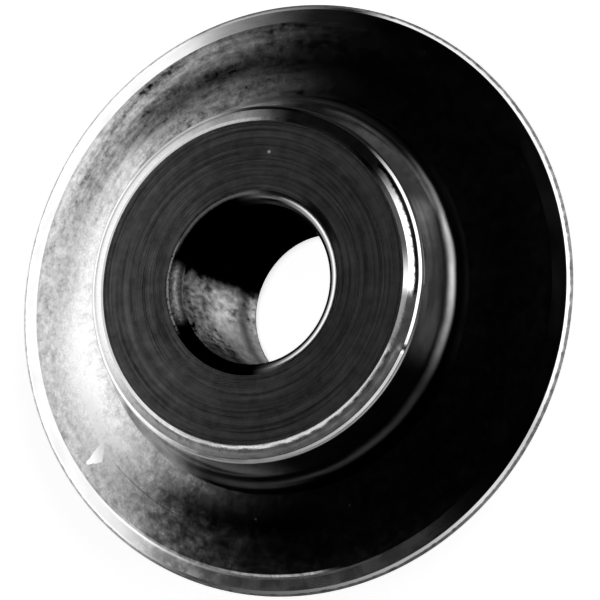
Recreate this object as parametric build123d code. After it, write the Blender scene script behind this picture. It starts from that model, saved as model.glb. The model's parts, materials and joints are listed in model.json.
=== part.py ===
from build123d import *
from math import cos, radians, sin, tan
import os

# A pipe cutter wheel: one piece of hardened steel, turned with a plain bore, a hub with two flat
# end faces, and a thin blade round its middle, ground to a sharp edge. Both sides are the same.
# The origin is the wheel's centre, +Z runs along the bore, and the edge lies in the XY plane.
# Sizes are in millimetres and slopes in degrees.

cutting_diameter = 18.0      # over the sharp edge
hub_width = 6.0              # from one end face to the other
bore_diameter = 4.8          # runs on a pin of about 4.76
mouth_radius = 0.38          # rounds both ends of the bore

hub_diameter = 10.7          # at the rounded corner beside each end face
shoulder_width = 0.37        # nearly flat ring round each end face
shoulder_slope = 16.5        # how far that ring leans back from the end face
rim_break_width = 0.12       # narrow bevel between the end face and that ring
rim_break_slope = 38.0
corner_radius = 0.2          # rounds the ring into the hub's side
hub_taper = 10.5             # the hub's side widens towards the blade

root_reach = 0.485           # how far the concave root runs out from the hub's side
root_rise = 0.80             # how far the root runs down to the blade
blade_foot_height = 0.82     # where the blade leaves the root, above the plane of the edge

bevel_width = 0.40           # ground bevel, measured along the radius
bevel_slope = 20.0
hone_width = 0.15            # finer bevel outside the ground one
hone_slope = 35.0
edge_land = 0.04             # flat that wear leaves on the sharp edge

half_width = hub_width / 2
hub_radius = hub_diameter / 2
cutting_radius = cutting_diameter / 2


def slant(run, slope):
    """How far a straight stretch that leans by a slope moves sideways over a run."""
    return run * tan(radians(slope))


def hub_outline():
    """Outline of the hub from the wheel's centre over one end face and down the hub's side."""
    ring_radius = hub_radius - shoulder_width
    ring_height = half_width - slant(rim_break_width, rim_break_slope)
    corner_height = ring_height - slant(shoulder_width, shoulder_slope)
    side_height = corner_height - blade_foot_height - root_rise
    side_radius = hub_radius + slant(side_height, hub_taper)
    return FilletPolyline(
        (0, 0),
        (0, half_width),
        (ring_radius - rim_break_width, half_width),
        (ring_radius, ring_height),
        (hub_radius, corner_height),
        (side_radius, corner_height - side_height),
        radius=[0, 0, 0, corner_radius],
    )


def root_outline(hub):
    """Concave root that leaves the hub's side smoothly and meets the blade at a crease."""
    side_end = hub @ 1
    blade_foot = (side_end.X + root_reach, blade_foot_height)
    down_the_side = (sin(radians(hub_taper)), -cos(radians(hub_taper)))
    return TangentArc(side_end, blade_foot, tangent=down_the_side)


def blade_outline(root):
    """One flank of the blade, its ground bevel, the finer honed bevel and the worn edge."""
    hone_radius = cutting_radius - hone_width
    hone_height = edge_land / 2 + slant(hone_width, hone_slope)
    bevel_height = hone_height + slant(bevel_width, bevel_slope)
    return Polyline(
        root @ 1,
        (hone_radius - bevel_width, bevel_height),
        (hone_radius, hone_height),
        (cutting_radius, edge_land / 2),
        (cutting_radius, 0),
        (0, 0),
    )


def turned_half():
    """One half of the wheel without its bore, turned about Z from its outline."""
    hub = hub_outline()
    root = root_outline(hub)
    blade = blade_outline(root)
    section = make_face([*hub.edges(), *root.edges(), *blade.edges()])
    return revolve(Plane.XZ * section, Axis.Z)


def cutter_wheel():
    """Both halves in one piece, bored through, with the two mouths of the bore rounded."""
    upper_half = turned_half()
    blank = upper_half + mirror(upper_half, Plane.XY)
    bored = blank - Cylinder(bore_diameter / 2, hub_width)
    bore_wall = bored.faces().filter_by(GeomType.CYLINDER).sort_by(SortBy.RADIUS)[0]
    mouths = bore_wall.edges().filter_by(GeomType.CIRCLE)
    return fillet(mouths, mouth_radius)


os.makedirs("parts", exist_ok=True)
wheel = cutter_wheel()
export_step(wheel, "parts/cutter_wheel.step")
print(f"cutter_wheel: {wheel.volume:.1f} mm3, {wheel.bounding_box().size}")
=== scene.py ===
# %% [markdown]
# # A pipe cutter wheel in turned and ground steel
# This lesson dresses one small solid, a cutter wheel 18 mm across, as the piece of used steel that it
# is. The first cell loads the engineering model as a fixed frame. The dressed wheel takes its place
# and its outer size from that frame.

# %% Load the fixed frame
import json
import math
import random

import bmesh
import bpy
from mathutils import Matrix, Vector, noise


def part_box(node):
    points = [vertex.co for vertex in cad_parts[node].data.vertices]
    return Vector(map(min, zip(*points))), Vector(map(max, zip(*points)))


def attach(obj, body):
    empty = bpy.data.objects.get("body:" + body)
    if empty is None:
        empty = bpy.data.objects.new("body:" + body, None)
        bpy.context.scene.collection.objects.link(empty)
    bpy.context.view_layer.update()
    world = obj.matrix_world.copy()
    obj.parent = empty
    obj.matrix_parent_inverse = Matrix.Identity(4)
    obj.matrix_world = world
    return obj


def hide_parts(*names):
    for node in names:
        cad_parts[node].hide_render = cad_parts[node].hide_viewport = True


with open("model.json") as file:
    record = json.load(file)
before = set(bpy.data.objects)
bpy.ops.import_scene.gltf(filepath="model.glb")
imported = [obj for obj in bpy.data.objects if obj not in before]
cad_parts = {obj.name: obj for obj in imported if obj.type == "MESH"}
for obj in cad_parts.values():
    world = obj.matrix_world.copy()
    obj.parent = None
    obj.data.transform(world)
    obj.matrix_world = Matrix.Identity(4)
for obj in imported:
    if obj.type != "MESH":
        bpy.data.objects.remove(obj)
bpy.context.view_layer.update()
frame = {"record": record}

SCENE = bpy.context.scene

# %% [markdown]
# ## The sizes of the wheel
# The wheel is a body of revolution, so its whole shape is one outline: radii and heights above the
# plane of the cutting edge. What the frame knows is read from it, namely the outer size and the
# bore. The rest are the wheel's own sizes. They are written in millimetres, because a machinist
# reads them so, and `MM` turns them into the metres that every object here uses.

# %% Name the sizes
MM = 0.001
MICROMETRE = 1e-6
NODE = "cutter_wheel"
node_low, node_high = (Vector(corner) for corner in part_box(NODE))
bore = next(m for m in frame["record"]["mounts"] if m["name"] == "bore")["dims"]

half_width = node_high.z / MM
cutting_radius = node_high.x / MM
bore_radius = bore["r_mm"]
mouth_radius = half_width - bore["length_mm"] / 2

hub_radius = 5.35
shoulder_width = 0.37
shoulder_slope = math.radians(16.5)
rim_break_width = 0.12
rim_break_slope = math.radians(38)
corner_round = 0.2
hub_taper = math.radians(10.5)
root_reach = 0.485
root_rise = 0.80
blade_foot_height = 0.82
bevel_width = 0.40
bevel_slope = math.radians(20)
hone_width = 0.15
hone_slope = math.radians(35)
edge_land = 0.04
ledge_width = 0.07
ledge_rise = 0.027
flank_wave = 0.010

ring_radius = hub_radius - shoulder_width
face_radius = ring_radius - rim_break_width
face_inner_radius = bore_radius + mouth_radius
ring_height = half_width - rim_break_width * math.tan(rim_break_slope)
corner_height = ring_height - shoulder_width * math.tan(shoulder_slope)
side_end_height = blade_foot_height + root_rise
side_end_radius = hub_radius + (corner_height - side_end_height) * math.tan(hub_taper)
blade_foot_radius = side_end_radius + root_reach
hone_radius = cutting_radius - hone_width
bevel_radius = hone_radius - bevel_width
hone_height = edge_land / 2 + hone_width * math.tan(hone_slope)
bevel_height = hone_height + bevel_width * math.tan(bevel_slope)
print(f"face to r {face_radius:.2f}, blade from r {blade_foot_radius:.2f} to {cutting_radius:.2f} mm")

# %% [markdown]
# ## Drawing an outline with operators
# A lathe tool draws an outline and the spindle makes it round. A pen that drags one vertex along
# does the same here: a straight cut extrudes the vertex, and a curved cut spins it round a centre.
# Typing a list of points would give the same curve, but it would hide which stretches are straight
# and which are arcs.

# %% Make the pen
class Pen:
    """Draws an outline in the XZ plane, in millimetres, from the bore to the cutting edge."""

    def __init__(self, radius, height):
        self.mesh = bmesh.new()
        self.tip = bmesh.ops.create_vert(self.mesh, co=(radius, 0, height))["vert"][0]

    def line(self, radius, height, steps=1):
        start = self.tip.co.copy()
        end = Vector((radius, 0, height))
        for step in range(steps):
            self.tip = bmesh.ops.extrude_vert_indiv(self.mesh, verts=[self.tip])["verts"][0]
            self.tip.co = start.lerp(end, (step + 1) / steps)

    def arc(self, centre_radius, centre_height, turn, steps):
        swept = bmesh.ops.spin(
            self.mesh, geom=[self.tip], cent=(centre_radius, 0, centre_height),
            axis=(0, 1, 0), angle=turn, steps=steps)
        self.tip = next(part for part in swept["geom_last"] if isinstance(part, bmesh.types.BMVert))


pen = Pen(bore_radius, 0)
print("the pen starts on the bore, at", tuple(round(value, 2) for value in pen.tip.co))

# %% [markdown]
# ## Two rounded places
# The tumbled corner beside the end face and the concave root of the blade are both arcs. The corner
# touches two straight cuts, so its radius alone places it. The root leaves the hub's side smoothly
# and meets the ground flank at a faint crease, so one tangent and two ends fix it.

# %% Work out the two arcs
def heading(slope):
    """Direction of a cut that falls away outwards by a slope, in the plane of the outline."""
    return Vector((math.cos(slope), -math.sin(slope)))


def inwards(slope):
    """Direction into the steel, square to a cut of that slope."""
    return Vector((-math.sin(slope), -math.cos(slope)))


side_slope = math.pi / 2 - hub_taper
corner_turn = side_slope - shoulder_slope
corner_start = Vector((hub_radius, corner_height)) - heading(shoulder_slope) * (
    corner_round * math.tan(corner_turn / 2))
corner_centre = corner_start + inwards(shoulder_slope) * corner_round

chord = Vector((root_reach, blade_foot_height - side_end_height))
root_turn = 2 * heading(side_slope).angle(chord)
root_radius = chord.length / 2 / math.sin(root_turn / 2)
root_centre = Vector((side_end_radius, side_end_height)) - inwards(side_slope) * root_radius
print(f"corner: radius {corner_round} mm over {math.degrees(corner_turn):.0f} degrees")
print(f"root: radius {root_radius:.2f} mm over {math.degrees(root_turn):.0f} degrees")

# %% [markdown]
# ## Tool marks on the end face
# A lathe tool that feeds across a face leaves a fine groove at each turn. The grooves are real relief,
# about a thousandth of a millimetre deep, because even that bends a reflection in smooth steel. The
# pen walks across the face in short steps, and each groove gets its own seeded depth.

# %% Draw the bore, its mouth and the end face
MOUTH_STEPS = 8
GROOVE_PITCH = 0.145
GROOVE_STEPS = 3
GROOVE_DEPTHS = (0.0003, 0.0016)

random.seed(7)
pen.line(bore_radius, half_width - mouth_radius)
pen.arc(face_inner_radius, half_width - mouth_radius, math.pi / 2, MOUTH_STEPS)
groove_count = round((face_radius - face_inner_radius) / GROOVE_PITCH)
groove_width = (face_radius - face_inner_radius) / groove_count
for groove in range(groove_count):
    depth = random.uniform(*GROOVE_DEPTHS)
    for step in range(1, GROOVE_STEPS + 1):
        share = step / GROOVE_STEPS
        sunk = depth * math.sin(math.pi * share)
        pen.line(face_inner_radius + groove_width * (groove + share), half_width - sunk)
print(f"{groove_count} grooves of {groove_width:.3f} mm, end at r {pen.tip.co.x:.2f}")

# %% [markdown]
# ## The hub down to the blade
# From the end face the outline goes over the narrow rim and the shoulder, round the corner, down the
# side of the hub and through the concave root. The middle of the corner is rubbed flat between two
# slopes, which widens its bright line.

# %% Draw the hub and the root
SHOULDER_STEPS = 9
ROOT_STEPS = 12
flat_start, flat_end = math.radians(23), math.radians(49)

pen.line(ring_radius, ring_height)
pen.line(*corner_start, SHOULDER_STEPS)
pen.arc(*corner_centre, flat_start - shoulder_slope, steps=2)
corner_flat = [pen.tip.co.xz]
pen.arc(*corner_centre, flat_end - flat_start, steps=1)
corner_flat.append(pen.tip.co.xz)
pen.arc(*corner_centre, side_slope - flat_end, steps=4)
pen.line(side_end_radius, side_end_height)
pen.arc(*root_centre, -root_turn, ROOT_STEPS)
print(f"blade foot at r {pen.tip.co.x:.3f}, z {pen.tip.co.z:.3f} mm")

# %% [markdown]
# ## The blade
# Grinding by hand leaves a flank that isn't quite flat: it is a little steeper at both ends than in
# its middle. Ten micrometres of wave are enough to bend the reflections as on the real flank. A
# narrow strip between flank and bevel is kept apart, for the ledge that comes with the wear. Outside
# it lie the ground bevel and the finer honed bevel, both straight.

# %% Draw the blade
FLANK_STEPS = 12

foot = Vector((blade_foot_radius, blade_foot_height))
ledge_share = ledge_width / (bevel_radius - blade_foot_radius)
flank_end = foot.lerp(Vector((bevel_radius, bevel_height)), 1 - ledge_share)
for step in range(1, FLANK_STEPS + 1):
    share = step / FLANK_STEPS
    place = foot.lerp(flank_end, share)
    pen.line(place.x, place.y - flank_wave * math.sin(math.tau * share))
pen.line(bevel_radius, bevel_height)
pen.line(hone_radius, hone_height)
pen.line(cutting_radius, edge_land / 2)
pen.line(cutting_radius, 0)
print(f"{len(pen.mesh.verts)} points in the outline of one side")

# %% [markdown]
# ## From outline to steel
# One spin makes the side round, and its last ring merges with the first. Where two cuts meet in a
# crisp line, the ring is marked sharp, which keeps the shading of each cut clean. A mirror then
# gives the other side, because the wheel can be turned round on its pin. Vertices nearer than
# `MERGE` become one, and a vertex is on a ring when it is nearer than `TOUCH`.

# %% Spin and mirror the wheel
SPIN_STEPS = 480
MERGE = 1e-5
TOUCH = 1e-3


def ring_edges(mesh, radius, height):
    """The edges of one ring of the wheel, found by its radius and its height."""
    def on_ring(vert):
        place = Vector((math.hypot(vert.co.x, vert.co.y), vert.co.z))
        return (place - Vector((radius, height))).length < TOUCH
    return [edge for edge in mesh.edges if all(on_ring(vert) for vert in edge.verts)]


wheel_mesh = pen.mesh
bmesh.ops.spin(
    wheel_mesh, geom=wheel_mesh.verts[:] + wheel_mesh.edges[:], cent=(0, 0, 0), axis=(0, 0, 1),
    angle=math.tau, steps=SPIN_STEPS, use_merge=True)
bmesh.ops.remove_doubles(wheel_mesh, verts=wheel_mesh.verts[:], dist=MERGE)

crisp_rings = [
    (face_radius, half_width), *corner_flat, (blade_foot_radius, blade_foot_height), flank_end,
    (bevel_radius, bevel_height), (hone_radius, hone_height), (cutting_radius, edge_land / 2)]
for radius, height in crisp_rings:
    found = ring_edges(wheel_mesh, radius, height)
    for edge in found:
        edge.smooth = False
    print(f"crisp ring at r {radius:.2f} mm: {len(found)} edges")

bmesh.ops.mirror(
    wheel_mesh, geom=wheel_mesh.verts[:] + wheel_mesh.edges[:] + wheel_mesh.faces[:],
    matrix=Matrix.Identity(4), merge_dist=MERGE, axis="Z")
bmesh.ops.recalc_face_normals(wheel_mesh, faces=wheel_mesh.faces[:])
for face in wheel_mesh.faces:
    face.smooth = True
print(f"wheel: {len(wheel_mesh.verts)} vertices, {len(wheel_mesh.faces)} faces")

# %% [markdown]
# ## Where the wheel is worn
# The wheel has worked. On one side the rim of its upper end face is rubbed into a broad slope, which
# catches the light. Next to it the rim is hammered over into a lumpy burr, and a nick crosses the
# shoulder between the two. Further out, the grinding wheel left a low ledge beside the bevel on one
# stretch. Each place is a stretch of the wheel round a compass angle, in degrees from +X, that fades
# out at both ends.

# %% Name the worn places
RUBBED = {"azimuth": 309, "half_angle": 22, "feather": 5}
RUBBED_SHARE = 0.62
RUBBED_DEPTH = 0.060
BURRS = [
    {"azimuth": 238, "half_angle": 30, "feather": 2},
    {"azimuth": 185, "half_angle": 28, "feather": 18},
]
BURR_SHARE = 0.6
BURR_HEIGHT = 0.016
NICK = {"azimuth": 268.3, "radius": 5.22, "reach": 0.10, "depth": 0.06}
LEDGE = {"azimuth": 190, "half_angle": 23, "feather": 9}
LEDGE_RUN = 0.8


def on_wheel(azimuth, radius):
    """Point in the plane of the wheel, from its compass angle in degrees and its radius."""
    return Vector((math.cos(math.radians(azimuth)), math.sin(math.radians(azimuth)))) * radius


def smooth_step(low, high, value):
    """0 below low, 1 above high, and a smooth rise between them."""
    share = min(max((value - low) / (high - low), 0), 1)
    return share * share * (3 - 2 * share)


def sector(vert, azimuth, half_angle, feather):
    """1 where a vertex faces a compass angle, fading at a half angle to either side."""
    off = abs((math.degrees(math.atan2(vert.co.y, vert.co.x)) - azimuth + 180) % 360 - 180)
    return 1 - smooth_step(half_angle - feather, half_angle + feather, off)


nick_place = on_wheel(NICK["azimuth"], NICK["radius"])
print("the nick is at", [round(value, 2) for value in nick_place])

# %% [markdown]
# ## Wear on the rim
# Wear takes steel away or pushes it aside, so the vertices of the finished wheel are moved by a few
# hundredths of a millimetre, and its size doesn't change. Cutting the worn places out would need
# faces of its own for each. The outline's nine steps over the shoulder are enough to bend instead. A
# share of 0 is the shoulder's inner ring, and 1 is where its corner begins.

# %% Wear the upper side
def rub(vert, share):
    """The rubbed slope runs over the inner part of the shoulder, and lowers what is outside it."""
    sunk = min(max(share / RUBBED_SHARE, 0), 1)
    ragged = 1 + 0.10 * noise.noise(vert.co * 3)
    vert.co.z -= RUBBED_DEPTH * sunk * ragged * sector(vert, **RUBBED)


def burr(vert, share):
    """The burr swells the shoulder beside the rim in long lumps with finer ones on them."""
    lump = 0.6 + 0.8 * noise.noise(vert.co * 3.5) + 0.5 * noise.noise(vert.co * 8)
    swell = math.sin(math.pi * min(max(share, 0) / BURR_SHARE, 1))
    hammered = max(sector(vert, **stretch) for stretch in BURRS)
    vert.co.z += BURR_HEIGHT * swell * max(lump, 0) * hammered


upper_side = [vert for vert in wheel_mesh.verts if vert.co.z > hone_height]
for vert in upper_side:
    radius = vert.co.xy.length
    share = (radius - ring_radius) / (corner_start.x - ring_radius)
    if vert.co.z > corner_centre.y:
        rub(vert, share)
        burr(vert, share)
    if vert.co.z > side_end_height:
        into_nick = 1 - (vert.co.xy - nick_place).length / NICK["reach"]
        vert.co.z -= NICK["depth"] * max(into_nick, 0)
    if flank_end.x - LEDGE_RUN < radius < flank_end.x + TOUCH:
        raised = smooth_step(flank_end.x - LEDGE_RUN, flank_end.x, radius)
        vert.co.z += ledge_rise * raised * sector(vert, **LEDGE)
print(f"wear worked over {len(upper_side)} vertices")

# %% [markdown]
# ## Which cut is which
# Each cut of the real wheel has its own finish. The faces are sorted by where they lie on the
# outline, and each kind gets its own material slot.

# %% Sort the faces by their cut
FINISHES = [
    "bore", "mouth", "end_face", "rim", "shoulder", "corner", "hub_side", "flank", "bevel", "hone"]


def finish_of(face):
    """Name of the cut that a face of the wheel belongs to."""
    place = face.calc_center_median()
    radius = place.xy.length
    height = abs(place.z)
    if height > side_end_height or radius < face_inner_radius:
        limits = [(bore_radius, "bore"), (face_inner_radius, "mouth"), (face_radius, "end_face"),
                  (ring_radius, "rim"), (corner_start.x, "shoulder")]
        beyond = "corner" if height > corner_centre.y else "hub_side"
    else:
        limits = [(blade_foot_radius, "hub_side"), (bevel_radius, "flank"), (hone_radius, "bevel")]
        beyond = "hone"
    return next((name for limit, name in limits if radius < limit), beyond)


face_counts = dict.fromkeys(FINISHES, 0)
for face in wheel_mesh.faces:
    cut = finish_of(face)
    face.material_index = FINISHES.index(cut)
    face_counts[cut] += 1
print("faces of each cut:", face_counts)

# %% [markdown]
# ## The wheel as an object
# The mesh is scaled to metres and handed to an object that stays at the origin, so that patterns on
# Object coordinates stay put. The engineering part that it replaces is hidden, and the wheel is
# attached to the body that carries it.

# %% Make the object
bmesh.ops.scale(wheel_mesh, verts=wheel_mesh.verts[:], vec=(MM, MM, MM))
wheel_data = bpy.data.meshes.new("steel_wheel")
wheel_mesh.to_mesh(wheel_data)
wheel_mesh.free()
wheel = bpy.data.objects.new("steel_wheel", wheel_data)
SCENE.collection.objects.link(wheel)
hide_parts(NODE)
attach(wheel, "root")
print(f"{wheel.name}: {len(wheel_data.polygons)} faces, {wheel.dimensions.x / MM:.1f} mm across")

# %% [markdown]
# ## Writing a finish as a formula
# A finish is maths on the surface: this much rougher here, that much darker there. One small class
# wraps a number on the surface, so that the maths can be written with plain signs. Most masks are
# made with one of its steps, which rise smoothly from 0 to 1 and so leave no hard border.

# %% Wrap a number of the surface
class Number:
    """A number that varies over a surface. The signs + - * / ** with it add Math nodes."""

    def __init__(self, nodes, socket):
        self.nodes = nodes
        self.socket = socket

    def _maths(self, operation, *values):
        node = self.nodes.node("ShaderNodeMath", {"operation": operation}, dict(enumerate(values)))
        return Number(self.nodes, node.outputs[0])

    def __add__(self, other):
        return self._maths("ADD", self, other)

    def __radd__(self, other):
        return self._maths("ADD", other, self)

    def __sub__(self, other):
        return self._maths("SUBTRACT", self, other)

    def __rsub__(self, other):
        return self._maths("SUBTRACT", other, self)

    def __mul__(self, other):
        return self._maths("MULTIPLY", self, other)

    def __rmul__(self, other):
        return self._maths("MULTIPLY", other, self)

    def __truediv__(self, other):
        return self._maths("DIVIDE", self, other)

    def __pow__(self, other):
        return self._maths("POWER", self, other)

    def size(self):
        """The number without its sign."""
        return self._maths("ABSOLUTE", self)

    def step(self, low, high):
        """0 below low, 1 above high, and a smooth rise between them."""
        node = self.nodes.node(
            "ShaderNodeMapRange", {"interpolation_type": "SMOOTHSTEP"},
            {"Value": self, "From Min": low, "From Max": high, "To Min": 0, "To Max": 1})
        return Number(self.nodes, node.outputs["Result"])

    def near(self, place, reach):
        """1 at a place, falling smoothly to 0 at a reach on either side of it."""
        return 1 - (self - place).size().step(0, reach)


print("what a number can do:", [name for name in vars(Number) if callable(getattr(Number, name))])

# %% [markdown]
# ## Adding any node
# Every node comes from one method, which sets its options first and then its values or links. The
# order matters, because an option such as a data type decides which sockets a node has.

# %% Make the node tool
class NodeTree:
    """A node tree that is filled by one method."""

    def __init__(self, tree):
        self.tree = tree

    def node(self, kind, settings=None, sockets=None):
        """Add a node, set its options, then give its sockets values or links."""
        node = self.tree.nodes.new(kind)
        for option, value in (settings or {}).items():
            setattr(node, option, value)
        for key, value in (sockets or {}).items():
            value = value.socket if isinstance(value, Number) else value
            if isinstance(value, bpy.types.NodeSocket):
                self.tree.links.new(value, node.inputs[key])
            else:
                node.inputs[key].default_value = value
        return node


def grey(value):
    """A neutral colour."""
    return (value, value, value, 1)


print("black is", grey(0), "and white is", grey(1))

# %% [markdown]
# ## The tools of a finish
# A used wheel differs from place to place, so a finish needs masks: a stretch that faces a compass
# angle, a spot, a triangle. `facing(352, 25, 9)` is the stretch that reaches 25 degrees to either
# side of 352, with a border that takes 9 degrees each way. A finish needs noise too, both cloudy and
# drawn out in rings: `noise(4, 3)` has four clouds a millimetre and finer ones on them. All of them
# read Object coordinates in millimetres, so that a mark stays on its place in every view. A tone is
# 0 for black and 1 for the lightest steel.

# %% Make the finish tools
class Finish(NodeTree):
    """A steel finish in the making: a metallic shader and the nodes that feed it."""

    def __init__(self, name):
        self.material = bpy.data.materials.new(name)
        self.material.use_nodes = True
        super().__init__(self.material.node_tree)
        self.shader = self.tree.nodes["Principled BSDF"]
        self.shader.inputs["Metallic"].default_value = 1.0
        place = self.node("ShaderNodeTexCoord").outputs["Object"]
        in_mm = self.node("ShaderNodeVectorMath", {"operation": "SCALE"}, {0: place, "Scale": 1 / MM})
        self.place = in_mm.outputs["Vector"]
        axes = self.node("ShaderNodeSeparateXYZ", {}, {0: self.place})
        self.x, self.y, self.z = (Number(self, axes.outputs[i]) for i in range(3))
        self.radius = (self.x * self.x + self.y * self.y) ** 0.5

    def noise(self, scale, detail=2.0, roughness=0.5, vector=None):
        """Cloudy noise round 0, mostly between -0.25 and 0.25. It has `scale` clouds a millimetre."""
        node = self.node("ShaderNodeTexNoise", {}, {
            "Vector": self.place if vector is None else vector,
            "Scale": scale, "Detail": detail, "Roughness": roughness})
        return Number(self, node.outputs["Fac"]) - 0.5

    def ring_noise(self, along, across, detail=2.0, roughness=0.5):
        """Noise that runs round the wheel. A small `along` beside `across` draws it out in rings.

        Seven tenths of the height are added to the radius, so the rings go on down the hub's side.
        """
        node = self.node("ShaderNodeCombineXYZ", {}, {
            0: self.x / self.radius * along, 1: self.y / self.radius * along,
            2: (self.radius + self.z * 0.7) * across})
        return self.noise(1.0, detail, roughness, node.outputs[0])

    def facing(self, azimuth, half_angle, feather):
        """1 on the side that faces a compass angle, fading at a half angle to either side."""
        aim = math.radians(azimuth)
        cosine = (self.x * math.cos(aim) + self.y * math.sin(aim)) / self.radius
        low, high = (math.cos(math.radians(half_angle + turn)) for turn in (feather, -feather))
        return cosine.step(low, high)

    def spot(self, azimuth, radius, reach):
        """1 at a point of the wheel, falling smoothly to 0 at a reach from it."""
        point = on_wheel(azimuth, radius)
        off = ((self.x - point.x) ** 2 + (self.y - point.y) ** 2) ** 0.5
        return 1 - off.step(0, reach)

    def patch(self, corners, feather):
        """1 inside a triangle whose corners are given by compass angle and radius."""
        inside = 1
        points = [on_wheel(*corner) for corner in corners]
        for start, end in zip(points, points[1:] + points[:1]):
            outwards = (end - start).normalized()
            depth = (self.y - start.y) * outwards.x - (self.x - start.x) * outwards.y
            inside = depth.step(-feather, feather) * inside
        return inside

    def neutral(self, lightness, clamp=True):
        """A neutral colour from a number. Only the colour of a glow may go past 1."""
        node = self.node(
            "ShaderNodeMix", {"data_type": "RGBA", "clamp_factor": clamp},
            {0: lightness, 6: grey(0), 7: grey(1)})
        return node.outputs[2]

    def finish(self, tone, roughness, relief=None, depth=MICROMETRE):
        """Feed the shader with a grey tone, a roughness and, as a bump, a relief and its depth."""
        self.tree.links.new(self.neutral(tone), self.shader.inputs["Base Color"])
        self.tree.links.new(roughness.socket, self.shader.inputs["Roughness"])
        if relief is not None:
            bump = self.node("ShaderNodeBump", {}, {"Height": relief, "Distance": depth})
            self.tree.links.new(bump.outputs["Normal"], self.shader.inputs["Normal"])
        print(f"{self.material.name}: {len(self.tree.nodes)} nodes")
        return self.material


finishes = {}
print("finishes to make:", FINISHES)

# %% [markdown]
# ## The end face
# The end face is turned and then darkened by use. Its grooves show as long, thin, broken rings, some
# lighter and some darker than the face. Noise that is stretched round the wheel draws them: it changes
# fast along the radius and slowly round it. The face is painted lighter on the side of the window, as
# the window's light would make it, oil has darkened it beside the bore at one place, and one small
# spot of bare steel shows.

# %% Finish the end face
def end_face_finish():
    steel = Finish("turned_end_face")
    rings = steel.ring_noise(0.9, 5.0, 3, 0.55)
    fine = steel.ring_noise(0.8, 17)
    cloud = steel.noise(0.8, 3)
    smear = steel.noise(3.2, 3, 0.6)
    # painted light: the face is made lighter on the side that faces the window
    window_side = steel.facing(112, 62, 25)
    oily = steel.facing(331, 13, 7) * (1 - steel.radius.step(2.9, 3.02))
    speck = steel.spot(15.3, 3.92, 0.07)
    tone = (0.40 + rings * 0.28 + fine * 0.5 + smear * 0.5) * (1 + 0.6 * window_side)
    tone = tone * (1 + cloud * 0.4) * (1 - 0.9 * oily) + speck * 2.5
    rough = 0.28 + speck * 0.25 + fine * 0.1
    return steel.finish(tone, rough, steel.ring_noise(3, 30, 3), 0.9 * MICROMETRE)


finishes["end_face"] = end_face_finish()

# %% [markdown]
# ## The rim
# The rim is the narrow bevel round the end face. Everything that touched the wheel has rubbed it
# bright, most of all where it is hammered. Oil keeps one stretch dark, and other stretches are darker,
# one of them almost black. A painted image could hold that, but here each stretch is a mask by compass
# angle, which stays crisp at any size. The tone is multiplied by what each mask leaves of it.

# %% Finish the rim
def rim_finish():
    steel = Finish("bright_rim")
    lumps = steel.noise(4, 3)
    near_black = steel.facing(352, 25, 9)
    dull = steel.facing(277, 10, 3)
    oily = steel.facing(318, 22, 8)
    worn_dull = steel.facing(90, 65, 25)
    hammered = steel.facing(188, 14, 8)
    clean_and_unshaded = (1 - 0.99 * near_black) * (1 - 0.75 * dull) * (1 - 0.93 * oily) * (1 - 0.45 * worn_dull)
    tone = (0.85 + hammered * 0.3) * (0.975 + lumps * 0.45) * clean_and_unshaded
    return steel.finish(tone, 0.24 + lumps * 0.3, steel.noise(6, 3), 6 * MICROMETRE)


finishes["rim"] = rim_finish()

# %% [markdown]
# ## The shoulder
# The shoulder is tumbled and duller than the rim, with fine pits. The rubbed stretch is bright in its
# inner part and dark outside it. Its borders are ragged, because noise is added to the mask before a
# step cuts it off. One stretch of rim, shoulder and corner alike is almost black. On the side of the
# window the shoulder is painted lighter, with a painted highlight on its inner part, as the window's
# light would make them.

# %% Finish the shoulder
def shoulder_finish():
    steel = Finish("tumbled_shoulder")
    mottle = steel.ring_noise(16, 4, 3)
    pits = steel.noise(14, 3, 0.6).step(0.06, 0.18)
    ragged = steel.noise(4.5, 4, 0.7)
    rubbed = (steel.facing(309, 23, 6) + ragged * 0.9).step(0.3, 0.8)
    inner = 1 - (steel.radius + ragged * 0.3).step(5.09, 5.17)
    # painted light: the shoulder is made lighter on the side that faces the window
    window_side = steel.facing(85, 65, 22)
    near_black = steel.facing(350, 27, 9)
    dull = steel.facing(277, 10, 3)
    outer = steel.radius.step(5.14, 5.24) * steel.facing(72, 40, 20)
    # painted highlight on the inner part of the shoulder, on the side of the window
    window_glint = (1 - steel.radius.step(5.10, 5.20)) * steel.facing(95, 45, 20)
    tone = 0.40 + 0.3 * window_side + mottle * 0.35 - 0.15 * pits * (1 - rubbed)
    tone = tone * (1 - 0.6 * rubbed * (1 - inner)) * (1 - 0.35 * dull) + rubbed * inner * 0.6
    tone = (tone * (1 - 0.45 * outer) + window_glint * 0.2) * (1 - 0.96 * near_black)
    rough = 0.46 - rubbed * 0.22 - window_side * 0.08 + mottle * 0.2
    return steel.finish(tone, rough, steel.noise(7, 3), 2.5 * MICROMETRE)


finishes["shoulder"] = shoulder_finish()

# %% [markdown]
# ## The corner
# The rounded corner of the hub is rubbed bright. Its bright line narrows where its outer part is
# painted dark as shade, on the side of the window and below the rubbed stretch of the shoulder.

# %% Finish the corner
def corner_finish():
    steel = Finish("bright_corner")
    lumps = steel.ring_noise(14, 4, 3)
    near_black = steel.facing(2, 30, 9)
    # painted shade: the outer part of the corner is made dark on the side of the window
    corner_painted_shade = steel.facing(105, 50, 15) * steel.radius.step(5.30, 5.34)
    # painted shade: the outer part of the corner is made dark below the rubbed stretch
    painted_shade_under = steel.facing(318, 45, 12) * steel.radius.step(5.325, 5.335)
    dimmed = steel.facing(45, 22, 12) + steel.facing(218, 25, 10) * 0.6
    clean_and_unshaded = (1 - 0.985 * near_black) * (1 - 0.8 * corner_painted_shade) * (1 - 0.92 * painted_shade_under) * (1 - 0.5 * dimmed)
    return steel.finish(0.85 * clean_and_unshaded * (0.975 + lumps * 0.55), 0.2 + lumps * 0.2)


finishes["corner"] = corner_finish()
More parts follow.
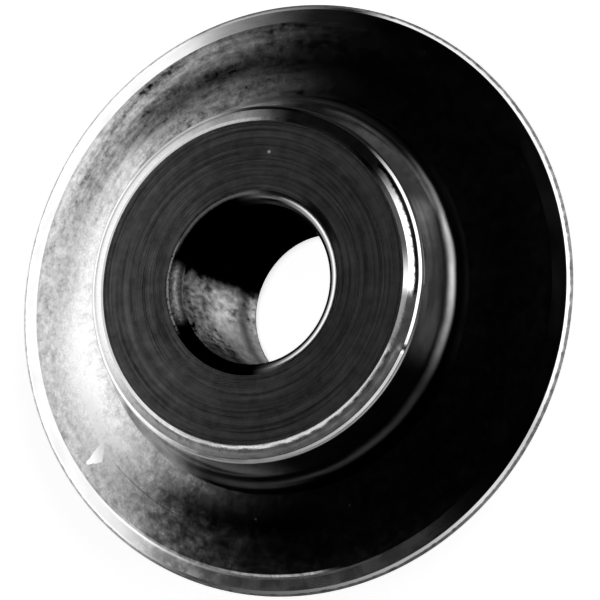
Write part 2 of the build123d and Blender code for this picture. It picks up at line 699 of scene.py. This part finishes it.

# %% [markdown]
# ## The side of the hub and the root
# Down the side of the hub the tool marks are fine, and the root is smooth enough to mirror the paper
# and the blade. The outer part of the root is painted dark as shade over most of the way round, and
# one short stretch of it is dusty, while the inner part stays bright. One stretch of the side is
# painted dark as shade, and another stretch of side and root is almost black.

# %% Finish the side of the hub
def hub_side_finish():
    steel = Finish("turned_hub_side")
    mottle = steel.ring_noise(6, 6, 3)
    ringlets = steel.ring_noise(0.8, 7)
    root = steel.radius.step(5.57, 5.62)
    # painted shade: one stretch of the hub's side is made dark
    painted_shade_side = steel.facing(221, 48, 9)
    # painted shade: the outer part of the root is made dark over most of the way round
    painted_shade_root = steel.facing(284, 78, 12) * (steel.radius + mottle * 0.1).step(5.70, 5.80)
    dusty_root = steel.facing(26, 24, 8) * steel.radius.step(5.86, 5.94)
    near_black = steel.facing(347, 33, 8) * (1 - root) + steel.facing(358, 27, 10) * root
    dimmed = steel.facing(160, 14, 12) * 0.45 + steel.facing(68, 16, 12) * root * 0.35
    clean_and_unshaded = (1 - 0.9 * painted_shade_side) * (1 - 0.995 * painted_shade_root) * (1 - 0.97 * near_black)
    clean_and_unshaded = clean_and_unshaded * (1 - 0.7 * dusty_root) * (1 - dimmed)
    tone = 0.52 + mottle * (0.4 + root * 0.8) + ringlets * 0.9
    rough = 0.15 + steel.facing(285, 50, 20) * root * 0.1 + mottle * 0.1
    return steel.finish(tone * clean_and_unshaded, rough)


finishes["hub_side"] = hub_side_finish()

# %% [markdown]
# ## The flank of the blade
# The flank is satin steel that has been handled: cloudy patches a few tenths of a millimetre across,
# where the steel is duller or a little dented, and longer streaks round the wheel. Cloudiness in the
# roughness matters most, because a rough patch still catches light where a smooth one has turned to
# black. One scrape and two specks are bare steel, and one thin scratch is dark. The half that faces
# away from the window and a band across the flank on one side are painted darker as shade, and near
# the hub on the side of the window the flank is painted lighter as a highlight.

# %% Finish the flank
SCRAPE = [(148.6, 8.22), (151.4, 7.66), (147.4, 7.16)]


def flank_finish():
    steel = Finish("satin_flank")
    mottle = steel.ring_noise(16, 3.2, 4, 0.62)
    grain = steel.ring_noise(90, 16, 3, 0.65)
    speckle = steel.ring_noise(34, 6.5, 5, 0.72)
    streak = steel.ring_noise(2.2, 3.0, 5, 0.62)
    edge = steel.radius + mottle * 0.8
    stained = steel.facing(48, 34, 20)
    # painted highlight: the flank near the hub is made lighter on the side of the window
    painted_highlight = edge.near(6.6, 1.1) * steel.facing(112, 38, 22) * 0.3
    painted_highlight = painted_highlight + edge.near(7.15, 0.9) * steel.facing(140, 20, 14) * 0.4
    smudged = edge.near(7.25, 0.95) * steel.facing(30, 34, 14)
    # painted shade: a band across the flank is made darker on one side
    painted_shade_band = edge.near(6.95, 0.8) * steel.facing(193, 20, 8)
    lighter = steel.radius.step(7.8, 8.3) * steel.facing(205, 30, 12)
    # painted shade: the half of the flank that faces away from the window is made darker
    painted_shade = steel.facing(288, 97, 20) * (1 - 0.3 * lighter)
    scratch = steel.radius.near(7.36 + streak * 0.12, 0.03) * steel.facing(164, 7, 7)
    scraped = (steel.patch(SCRAPE, 0.10) + speckle * 0.9).step(0.45, 0.55)
    bare = steel.spot(222, 6.8, 0.06) * 0.4 + steel.spot(196, 6.78, 0.06) * 0.5
    clean_and_unshaded = (1 - 0.4 * painted_shade) * (1 - 0.72 * smudged) * (1 - 0.85 * painted_shade_band) * (1 - 0.5 * scratch)
    tone = 0.47 + mottle * 0.7 + grain * 0.45 + streak * (0.15 + stained * 1.9)
    tone = tone + speckle * (0.9 + stained * 0.4) + painted_highlight
    uneven = (0.05 + mottle * 0.6 + speckle * 0.4) * 0.42 * (1 - stained * 0.75) * (1 - painted_shade * 0.8)
    rough = 0.2 + uneven + stained * 0.1 - painted_shade * 0.06 + bare * 0.2 - scraped * 0.05
    return steel.finish(tone * clean_and_unshaded + bare + scraped * 1.5, rough, mottle + grain * 0.3)


finishes["flank"] = flank_finish()

# %% [markdown]
# ## The bevel
# The bevel is ground and almost a mirror, so it shows the soft lights with crisp ends. Blots stain it
# on one side, where a painted highlight runs along its inner border, and a short stretch elsewhere is
# dull. The side that faces away from the window is painted darker as shade.

# %% Finish the bevel
def bevel_finish():
    steel = Finish("ground_bevel")
    cloud = steel.ring_noise(9, 3, 3)
    blots = steel.ring_noise(12, 2.0, 4, 0.6)
    stained = steel.facing(209, 38, 9)
    # painted shade: the side of the bevel that faces away from the window is made darker
    painted_shade = steel.facing(310, 73, 7)
    dull = steel.facing(24, 15, 9)
    # painted highlight along the inner border of the bevel, on the stained side
    lip = steel.facing(191, 28, 9) * (1 - steel.radius.step(8.50, 8.54))
    tone = 0.70 + cloud * 0.25 - stained * blots.step(-0.10, 0.10) * 0.42 + lip * 0.5
    rough = 0.13 + cloud * 0.08 + stained * (0.10 + blots * 0.15) + dull * 0.12
    return steel.finish(tone * (1 - 0.78 * painted_shade) * (1 - 0.4 * dull), rough)


finishes["bevel"] = bevel_finish()

# %% [markdown]
# ## The hone
# The hone is finer than the bevel, and its outermost part is darker and rougher. The ragged border of
# that darker part draws the thin broken line that ends the wheel. On the side of the window the hone
# is painted lighter, as the window's light would make it.

# %% Finish the hone
def hone_finish():
    steel = Finish("honed_edge")
    ragged = steel.noise(5, 4, 0.65)
    # painted light: the hone is made lighter on the side that faces the window
    window_side = steel.facing(100, 70, 20)
    darker_outer = (steel.radius + window_side * 0.015 + ragged * 0.06).step(8.920, 8.945)
    dull = steel.facing(206, 33, 9) * 0.4 + steel.facing(28, 17, 3) * 0.5
    tone = (0.75 + window_side * 0.2 - darker_outer * (0.42 + ragged * 0.9)) * (1 - dull)
    return steel.finish(tone, 0.12 + darker_outer * 0.4)


finishes["hone"] = hone_finish()

# %% [markdown]
# ## The mouth of the bore
# The mouth is rounded. It is light on the side away from the window, and brightest in its outer part.
# The other side is black, apart from a grey stretch and thin painted highlights along its edge. A
# black specular tint takes away what steel reflects at a grazing angle, so that the black part stays
# black.

# %% Finish the mouth
def mouth_finish():
    steel = Finish("rounded_mouth")
    steel.shader.inputs["Specular Tint"].default_value = grey(0)
    specks = steel.noise(9, 4, 0.65)
    clean_and_unshaded = steel.facing(300, 81, 16)
    bright = clean_and_unshaded * (1 - 0.7 * (1 - steel.radius.step(2.60, 2.66)))
    grey_stretch = steel.facing(117, 16, 8) * (0.22 + specks * 1.2)
    # painted highlight: thin broken lines along the edge of the mouth on its black side
    line = steel.radius.near(2.73, 0.05) * steel.facing(112, 28, 6) * specks.step(-0.12, 0)
    blended = steel.facing(48, 34, 12) * (steel.radius + specks * 0.06).near(2.70, 0.08)
    joined = steel.facing(117, 15, 8) * (1 - steel.radius.step(2.47, 2.60)) * (specks + 0.5)
    tone = bright * 0.74 + grey_stretch * 0.6 + line * 0.9 + blended * 0.4 + joined * 0.45
    rough = 0.14 + 0.36 * (1 - clean_and_unshaded)
    return steel.finish(tone, rough, steel.noise(5), 2 * MICROMETRE)


finishes["mouth"] = mouth_finish()

# %% [markdown]
# ## The wall of the bore
# The wall is black, apart from one side, where grey blotches catch the light of the paper. Plain noise
# would make them round. They are drawn out along the bore, so the noise reads coordinates that change
# more slowly that way. On that side a patch near the middle of the bore is painted brighter as a pool
# of light, and a stretch toward the upper end is painted darker as shade.

# %% Finish the bore
DRAWN_OUT = (1, 1, 0.45)


def bore_finish():
    steel = Finish("plain_bore")
    steel.shader.inputs["Specular Tint"].default_value = grey(0)
    drawn_out = steel.node(
        "ShaderNodeVectorMath", {"operation": "MULTIPLY"}, {0: steel.place, 1: DRAWN_OUT}).outputs[0]
    blotch = steel.noise(3.2, 3, 0.55, drawn_out)
    speckle = steel.noise(7, vector=drawn_out)
    grey_stretch = (steel.facing(154, 52, 14) + blotch * 0.5).step(0.05, 1.0)
    # painted light: a brighter patch near the middle of the bore, where light would fall
    bright = steel.z.near(0.0, 1.8) * steel.facing(116, 14, 16)
    band = steel.z.near(-1.72, 0.65)
    # painted shade: a darker stretch toward the upper end of the bore
    wall_painted_shade = steel.facing(168, 16, 8) * steel.z.step(-0.6, 0.6)
    smooth = steel.facing(150, 24, 8) * (1 - steel.z.step(-0.4, 0.8))
    spots = (blotch * 1.3 + speckle * 1.2) * (1 - smooth * 0.7) * (1 - band * 0.6)
    tone = (0.36 + bright * 0.42 + spots) * grey_stretch ** 1.7 * (1 - 0.5 * band) * (1 - 0.6 * wall_painted_shade)
    return steel.finish(tone, 0.5 + grey_stretch * 0.15)


finishes["bore"] = bore_finish()

# %% [markdown]
# ## Putting the finishes on
# The faces already carry the number of their cut, so the materials only have to go into the slots
# in that order. One object with ten materials stays one piece, as the real wheel is.

# %% Put the finishes on
for cut in FINISHES:
    wheel_data.materials.append(finishes[cut])
print("finishes:", [material.name for material in wheel_data.materials])

# %% [markdown]
# ## The camera
# The photograph looks down on the wheel with a long lens, 26 degrees off the bore's line, and turned
# so that the bore leans to the left. Its distance is counted in the photograph's pixels, and
# `MM_PER_PIXEL` is what one of them measures at the end face. The middle of that face is put back on
# the pixel where the photograph has it.

# %% Set the camera
IMAGE_SIZE = 600
SENSOR = 36.0
DEPTH_IN_PIXELS = 5000
MM_PER_PIXEL = 0.0295
VIEW_TILT = math.radians(25.6)
AXIS_LEAN = math.radians(21.6)
FACE_CENTRE_PIXEL = (251.2, 282.1)

camera_data = bpy.data.cameras.new("camera")
camera_data.sensor_width = SENSOR
camera_data.lens = SENSOR * DEPTH_IN_PIXELS / IMAGE_SIZE
camera_data.clip_start = 0.01
camera = bpy.data.objects.new("camera", camera_data)
SCENE.collection.objects.link(camera)
SCENE.camera = camera

turn = Matrix.Rotation(VIEW_TILT, 3, "X") @ Matrix.Rotation(AXIS_LEAN - math.pi / 2, 3, "Z")
right, up, back = turn.col
pixel = MM_PER_PIXEL * MM
right_of_middle = (FACE_CENTRE_PIXEL[0] - IMAGE_SIZE / 2) * pixel
above_middle = (IMAGE_SIZE / 2 - FACE_CENTRE_PIXEL[1]) * pixel
face_centre = Vector((0, 0, node_high.z))
in_line = face_centre - right * right_of_middle - up * above_middle
camera_place = in_line + back * DEPTH_IN_PIXELS * pixel
camera.matrix_world = Matrix.Translation(camera_place) @ turn.to_4x4()
print("camera at", [round(value, 4) for value in camera_place])

# %% [markdown]
# ## A room told by direction
# Bare steel has hardly a colour of its own: it shows the room. So the room is built with care, as a
# dome of directions in the world shader. A light in it is a rectangle with feathered edges. Lamps
# with hard edges would draw hard shapes in the polished bevel, and a plain grey sky would flatten
# the steel.

# %% Make the studio's tools
class Studio(NodeTree):
    """The room round the wheel, told by direction."""

    def __init__(self, world):
        super().__init__(world.node_tree)
        self.direction = self.node("ShaderNodeTexCoord").outputs["Generated"]

    def along(self, axis):
        """How far the direction points along an axis."""
        node = self.node("ShaderNodeVectorMath", {"operation": "DOT_PRODUCT"}, {
            0: self.direction, 1: axis})
        return Number(self, node.outputs["Value"])

    def soft_light(self, azimuth, elevation, reach, feather, roll, brightness):
        """A rectangular light, seen from the wheel. Its angles are in degrees.

        `reach` and `feather` are tangents of angles from its centre, sideways and upwards. The first
        step keeps it from shining on the opposite side too.
        """
        centre = towards(azimuth, elevation)
        rolled = Matrix.Rotation(math.radians(roll), 3, centre)
        sideways = rolled @ Vector((0, 0, 1)).cross(centre).normalized()
        upwards = centre.cross(sideways)
        ahead = self.along(centre)
        glow = ahead.step(0, 0.1) * brightness
        for axis, half, soft in zip((sideways, upwards), reach, feather):
            off = (self.along(axis) / ahead).size()
            glow = glow * (1 - off.step(half - soft, half + soft))
        return glow


def towards(azimuth, elevation):
    """Unit vector at a compass angle and a height above the horizon, both in degrees."""
    azimuth, elevation = math.radians(azimuth), math.radians(elevation)
    level = math.cos(elevation)
    return Vector((level * math.cos(azimuth), level * math.sin(azimuth), math.sin(elevation)))


SCENE.view_settings.view_transform = "Standard"
SCENE.world = bpy.data.worlds.new("studio")
SCENE.world.use_nodes = True
studio = Studio(SCENE.world)
print("the room is", SCENE.world.name)

# %% [markdown]
# ## The studio's light
# Four soft lights hang in the room, and all the rest is dark. The window is the largest and stands
# lowest. The front light faces it, and a long strip and a small light stand at the other two sides.
# The camera itself sees a white backdrop.

# %% Hang the soft lights
window = studio.soft_light(
    azimuth=97, elevation=13, reach=(1.06, 0.55), feather=(0.6, 0.16), roll=17, brightness=1.43)
front = studio.soft_light(
    azimuth=308, elevation=42, reach=(0.62, 0.32), feather=(0.42, 0.07), roll=0, brightness=1.8)
strip = studio.soft_light(
    azimuth=203, elevation=41, reach=(0.85, 0.17), feather=(0.4, 0.05), roll=8, brightness=1.0)
small = studio.soft_light(
    azimuth=3, elevation=20, reach=(0.52, 0.2), feather=(0.1, 0.05), roll=0, brightness=1.2)
seen_by_camera = Number(studio, studio.node("ShaderNodeLightPath").outputs["Is Camera Ray"])
brightness = seen_by_camera + (1 - seen_by_camera) * (window + front + strip + small)
background = studio.tree.nodes["Background"]
background.inputs["Color"].default_value = grey(1)
studio.tree.links.new(brightness.socket, background.inputs["Strength"])
print(f"soft lights hung with {len(studio.tree.nodes)} nodes")

# %% [markdown]
# ## The floor
# The wheel lies on pale paper. A flat disc is enough, so wide that its border is out of sight.

# %% Lay the paper
PAPER_RADIUS = 2.0

paper_mesh = bmesh.new()
bmesh.ops.create_circle(paper_mesh, cap_ends=True, segments=64, radius=PAPER_RADIUS)
bmesh.ops.translate(paper_mesh, verts=paper_mesh.verts[:], vec=(0, 0, node_low.z))
paper_data = bpy.data.meshes.new("paper")
paper_mesh.to_mesh(paper_data)
paper_mesh.free()
paper = bpy.data.objects.new("paper", paper_data)
SCENE.collection.objects.link(paper)
print(f"paper: {paper.dimensions.x:.0f} m across, {-node_low.z / MM:.0f} mm below the edge")

# %% [markdown]
# ## What the paper shows
# The camera sees the paper white, by a glow that only its own rays meet, so the wheel's shadow stays.
# In the steel's mirror the paper glows in two painted pools of light, on the sides of the window and
# of the front light, and is dim elsewhere, and near the wheel the pools are cut off as a painted
# shadow. Under the bore it glows more, as painted light, because the hole is white in the photograph
# and its light shows the grey side of the bore.

# %% Finish the paper
PAPER_WHITE = 0.74

pale = Finish("pale_paper")
pale.shader.inputs["Metallic"].default_value = 0.0
pale.shader.inputs["Roughness"].default_value = 0.9
pale.shader.inputs["Specular IOR Level"].default_value = 0.0
pale.shader.inputs["Base Color"].default_value = grey(0.8)
pale.shader.inputs["Emission Strength"].default_value = 1.0
rays = pale.node("ShaderNodeLightPath").outputs
by_camera = Number(pale, rays["Is Camera Ray"])
by_mirror = Number(pale, rays["Is Glossy Ray"]) + Number(pale, rays["Is Transmission Ray"])
# painted light: pools of glow on the paper where the lights would fall, seen only in the mirror
pools = pale.facing(100, 40, 16) * 0.8 + pale.facing(305, 14, 14) * 0.8 + 0.02
# painted shadow: the pools are cut off near the wheel
out_in_the_light = pale.radius.step(9, 16)
# painted light: the paper under the bore glows brighter
under_the_bore = 1 - pale.radius.step(2.3, 2.6)
glow = by_camera * (PAPER_WHITE + under_the_bore * 0.24)
glow = glow + by_mirror * (pools * out_in_the_light + under_the_bore * 1.35)
pale.tree.links.new(pale.neutral(glow, clamp=False), pale.shader.inputs["Emission Color"])
paper_data.materials.append(pale.material)
print(f"{pale.material.name}: {len(pale.tree.nodes)} nodes")

# %% [markdown]
